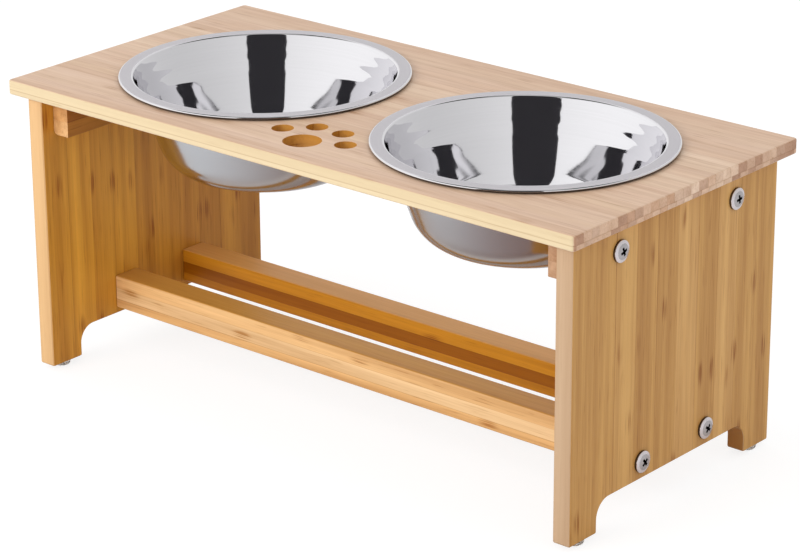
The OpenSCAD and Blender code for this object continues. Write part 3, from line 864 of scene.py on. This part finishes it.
def stainless(name, code, roughness, spread, uneven, axis_x):
    """Stainless steel with the fine rings that a turning polish leaves round the axis.

    The rings are drawn a little wider than the real scratches, so that they show as a soft sheen.
    The sheet is a little wavy from the press, which bends its reflections.
    """
    ring_detail = 3.0
    ring_roughness = 0.6
    low, high = 0.3, 0.7
    darkest, brightest = 0.985, 1.01
    scratch_depth = 0.01 * MM
    scratch_strength = 0.02
    wave = 20 * MM
    wave_detail = 1.0
    material, tree = new_material(name)
    place = add_node(tree, "ShaderNodeTexCoord")
    centred = add_node(tree, "ShaderNodeMapping", {
        "Vector": place.outputs["Object"], "Location": (-axis_x, 0, 0)})
    split = add_node(tree, "ShaderNodeSeparateXYZ", {0: centred})
    x, y, z = split.outputs
    flat = add_node(tree, "ShaderNodeCombineXYZ", {0: x, 1: y})
    away = add_node(tree, "ShaderNodeVectorMath", {0: flat}, operation="LENGTH")
    turn = add_node(tree, "ShaderNodeMath", {0: y, 1: x}, operation="ARCTAN2")
    around = add_node(tree, "ShaderNodeCombineXYZ", {2: turn})
    polar = add_node(tree, "ShaderNodeCombineXYZ", {0: away.outputs["Value"], 1: z})
    rings = add_node(tree, "ShaderNodeVectorMath", {
        0: polar, 1: (1 / POLISH_RING, 1 / POLISH_RING, 0), 2: around}, operation="MULTIPLY_ADD")
    scratch = add_node(tree, "ShaderNodeTexNoise", {
        "Vector": rings, "Scale": 1.0, "Detail": ring_detail, "Roughness": ring_roughness})
    gloss = add_node(tree, "ShaderNodeMapRange", {
        0: scratch, 1: low, 2: high, 3: roughness - spread, 4: roughness + spread})
    shade = add_node(tree, "ShaderNodeMapRange", {0: scratch, 1: low, 2: high, 3: darkest, 4: brightest})
    colour = add_node(tree, "ShaderNodeHueSaturation", {"Value": shade, "Color": linear(code)})
    bump = add_node(tree, "ShaderNodeBump", {
        "Strength": scratch_strength, "Distance": scratch_depth, "Height": scratch})
    waves = add_node(tree, "ShaderNodeVectorMath", {
        0: polar, 1: (1 / wave, 1 / wave, 0), 2: around}, operation="MULTIPLY_ADD")
    dents = add_node(tree, "ShaderNodeTexNoise", {"Vector": waves, "Scale": 1.0, "Detail": wave_detail})
    bump = add_node(tree, "ShaderNodeBump", {
        "Strength": 1.0, "Distance": uneven, "Height": dents, "Normal": bump})
    surface = add_node(tree, "ShaderNodeBsdfPrincipled", {
        "Base Color": colour, "Metallic": 1.0, "Roughness": gloss, "Normal": bump})
    add_node(tree, "ShaderNodeOutputMaterial", {0: surface})
    return material


for side, axis_x in (("left", -BOWL_X), ("right", BOWL_X)):
    low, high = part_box(side + "_bowl")
    outline = [(r, z + low.z) for r, z in inside + rolled_edge + outside]
    bowl = lathe(side + "_steel_bowl", outline, axis_x, BOWL_STEPS)
    settle(bowl)
    finishes = list(STEELS)
    for finish in finishes:
        bowl.data.materials.append(stainless(finish + "_stainless_" + side, *STEELS[finish], axis_x))
    for face in bowl.data.polygons:
        out = face.center - Vector((axis_x, 0, face.center.z))
        is_inside = face.normal.dot(out) < 0 or face.normal.z > 0
        finish = "polished" if is_inside else "outside"
        if out.length > BEND_RADIUS:
            finish = "satin" if out.length < RIM_RADIUS - 2 * BEAD_RADIUS else "polished"
            # Faces under the rim take the dark grey, which is painted shade
            if face.normal.z < 0:
                finish = "rolled"
        face.material_index = finishes.index(finish)
    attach(bowl, side + "_bowl_body")
    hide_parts(side + "_bowl")

# Floor: a plain white sweep that reads as white and keeps the soft shadow of the stand.
# Part of its white is a glow that only the camera sees, so that the shadow stays faint.
# The front right of it, as metal sees it, is painted in a brownish shade, as if the dark card shaded it.
FLOOR_SIZE = 14.0
FLOOR_GLOW = 0.82
# Where the shade on the floor starts and ends along an axis, and how full it is there
FLOOR_SHADE = (
    ("X", -0.18, 0.26, 0, 1),
    ("X", 0.3, 0.4, 1, 0),
    ("Y", -0.04, -0.08, 0, 1),
    ("Y", -0.5, -0.3, 0, 1),
)

bpy.ops.object.select_all(action="DESELECT")
bpy.ops.mesh.primitive_plane_add(size=FLOOR_SIZE)
floor = bpy.context.object
floor.name = "floor"
paper, tree = new_material("white_paper")
rays = add_node(tree, "ShaderNodeLightPath")
seen = add_node(tree, "ShaderNodeMath", {
    0: rays.outputs["Is Camera Ray"], 1: rays.outputs["Is Transmission Ray"]}, operation="MAXIMUM")
spot = add_node(tree, "ShaderNodeTexCoord")
spot = add_node(tree, "ShaderNodeSeparateXYZ", {0: spot.outputs["Object"]})
shade = rays.outputs["Is Glossy Ray"]
for axis, start, end, first, last in FLOOR_SHADE:
    part = add_node(tree, "ShaderNodeMapRange", {0: spot.outputs[axis], 1: start, 2: end, 3: first, 4: last},
                    interpolation_type="SMOOTHSTEP")
    shade = add_node(tree, "ShaderNodeMath", {0: shade, 1: part}, operation="MULTIPLY")
tint = add_node(tree, "ShaderNodeMix", {0: shade, 6: linear("#EFEFF2"), 7: linear("#A0857F")},
                data_type="RGBA")
bounced = add_node(tree, "ShaderNodeBsdfDiffuse", {"Color": tint.outputs[2]})
shadowed = add_node(tree, "ShaderNodeBsdfDiffuse", {"Color": linear("#8A8A8A")})
glow = add_node(tree, "ShaderNodeEmission", {"Strength": FLOOR_GLOW})
lit = add_node(tree, "ShaderNodeAddShader", {0: shadowed, 1: glow})
either = add_node(tree, "ShaderNodeMixShader", {0: seen, 1: bounced, 2: lit})
add_node(tree, "ShaderNodeOutputMaterial", {0: either})
floor.data.materials.append(paper)

# Studio: a white surround, a soft lamp low at the front on the left, and a tall dark card at the front.
# Metal sees the surround greyer on the right, with a dark ceiling that has a skylight in the middle,
# and it alone sees the card, so that it looks polished.
SURROUND_LIGHT = 0.82
SURROUND_SEEN = 0.9
SURROUND_CHANGE = 0.22
TO_THE_RIGHT = (0.762, 0.647, 0.0)
# Heights of a direction where the ceiling and its skylight start and are full, and how bright they are
CEILING = (0.72, 0.82)
CEILING_SEEN = 0.1
SKYLIGHT = (0.94, 0.97)
SKYLIGHT_SEEN = 0.8
LAMP_SIZE = (1.0, 0.5)
LAMP_POWER = 11
LAMP_PLACE = Vector((-0.35, -1.4, 0.75))
LAMP_TARGET = Vector((0, 0, 0.1))
CARD_PLACE = Vector((0.335, -0.476, 0.0))
CARD_WIDTH = 0.45
CARD_LOW = 0.12
CARD_HIGH = 1.9

world = bpy.data.worlds.new("studio")
bpy.context.scene.world = world
world.use_nodes = True
tree = world.node_tree
tree.nodes.clear()
rays = add_node(tree, "ShaderNodeLightPath")
way = add_node(tree, "ShaderNodeTexCoord")
right = add_node(tree, "ShaderNodeVectorMath", {0: way.outputs["Generated"], 1: TO_THE_RIGHT},
                 operation="DOT_PRODUCT")
walls = add_node(tree, "ShaderNodeMath", {0: right.outputs["Value"], 1: -SURROUND_CHANGE, 2: SURROUND_SEEN},
                 operation="MULTIPLY_ADD")
height = add_node(tree, "ShaderNodeSeparateXYZ", {0: way.outputs["Generated"]}).outputs["Z"]
ceiling = add_node(tree, "ShaderNodeMapRange", {
    0: height, 1: CEILING[0], 2: CEILING[1], 3: 1.0, 4: CEILING_SEEN})
skylight = add_node(tree, "ShaderNodeMapRange", {
    0: height, 1: SKYLIGHT[0], 2: SKYLIGHT[1], 3: 0.0, 4: SKYLIGHT_SEEN})
ceiling = add_node(tree, "ShaderNodeMath", {0: ceiling, 1: skylight}, operation="MAXIMUM")
walls = add_node(tree, "ShaderNodeMath", {0: walls, 1: ceiling}, operation="MULTIPLY")
level = add_node(tree, "ShaderNodeMix", {0: rays.outputs["Is Glossy Ray"], 2: SURROUND_LIGHT, 3: walls})
clear = add_node(tree, "ShaderNodeMath", {
    0: rays.outputs["Is Camera Ray"], 1: rays.outputs["Is Transmission Ray"]}, operation="MAXIMUM")
level = add_node(tree, "ShaderNodeMix", {0: clear, 2: level, 3: 1.0})
sky = add_node(tree, "ShaderNodeBackground", {"Color": (1.0, 1.0, 1.0, 1.0), "Strength": level})
add_node(tree, "ShaderNodeOutputWorld", {0: sky})


def aim(thing, place, target, size=(1, 1, 1)):
    """Puts a lamp or card at a place, facing a target."""
    turned = (target - place).to_track_quat("-Z", "Y").to_matrix().to_4x4()
    thing.matrix_world = Matrix.Translation(place) @ turned @ Matrix.Diagonal(Vector(size)).to_4x4()


lamp = bpy.data.lights.new("front_lamp", "AREA")
lamp.shape = "RECTANGLE"
lamp.size, lamp.size_y = LAMP_SIZE
lamp.energy = LAMP_POWER
front_lamp = bpy.data.objects.new("front_lamp", lamp)
front_lamp.visible_glossy = False
bpy.context.scene.collection.objects.link(front_lamp)
aim(front_lamp, LAMP_PLACE, LAMP_TARGET)

bpy.ops.object.select_all(action="DESELECT")
bpy.ops.mesh.primitive_plane_add(size=1)
card = bpy.context.object
card.name = "dark_card"
card_middle = CARD_PLACE + Vector((0, 0, (CARD_LOW + CARD_HIGH) / 2))
aim(card, card_middle, Vector((0, 0, card_middle.z)), (CARD_WIDTH, CARD_HIGH - CARD_LOW, 1))
felt, tree = new_material("dark_felt")
fuzz = add_node(tree, "ShaderNodeBsdfDiffuse", {"Color": linear("#38373A")})
add_node(tree, "ShaderNodeOutputMaterial", {0: fuzz})
card.data.materials.append(felt)
card.visible_camera = False
card.visible_diffuse = False
card.visible_shadow = False
card.visible_transmission = False

# Camera: at the front on the right, looking down on the stand through a long lens.
# Its place, turn and lens were fitted to the corners, feet, bolts and rims that the picture shows.
CAMERA_PLACE = Vector((1.07218, -1.25044, 0.71154))
CAMERA_AZIMUTH = 40.462
CAMERA_ELEVATION = 21.102
CAMERA_ROLL = -0.36
SENSOR_WIDTH = 36
IMAGE_WIDTH = 800
FOCAL_PIXELS = 3170.8

camera_data = bpy.data.cameras.new("camera")
camera_data.sensor_width = SENSOR_WIDTH
camera_data.lens = FOCAL_PIXELS / IMAGE_WIDTH * SENSOR_WIDTH
camera = bpy.data.objects.new("camera", camera_data)
bpy.context.scene.collection.objects.link(camera)
heading = Matrix.Rotation(math.radians(CAMERA_AZIMUTH), 4, "Z")
tilt = Matrix.Rotation(math.radians(90 - CAMERA_ELEVATION), 4, "X")
roll = Matrix.Rotation(math.radians(CAMERA_ROLL), 4, "Z")
camera.matrix_world = Matrix.Translation(CAMERA_PLACE) @ heading @ tilt @ roll
bpy.context.scene.camera = camera
bpy.context.scene.view_settings.view_transform = "Standard"
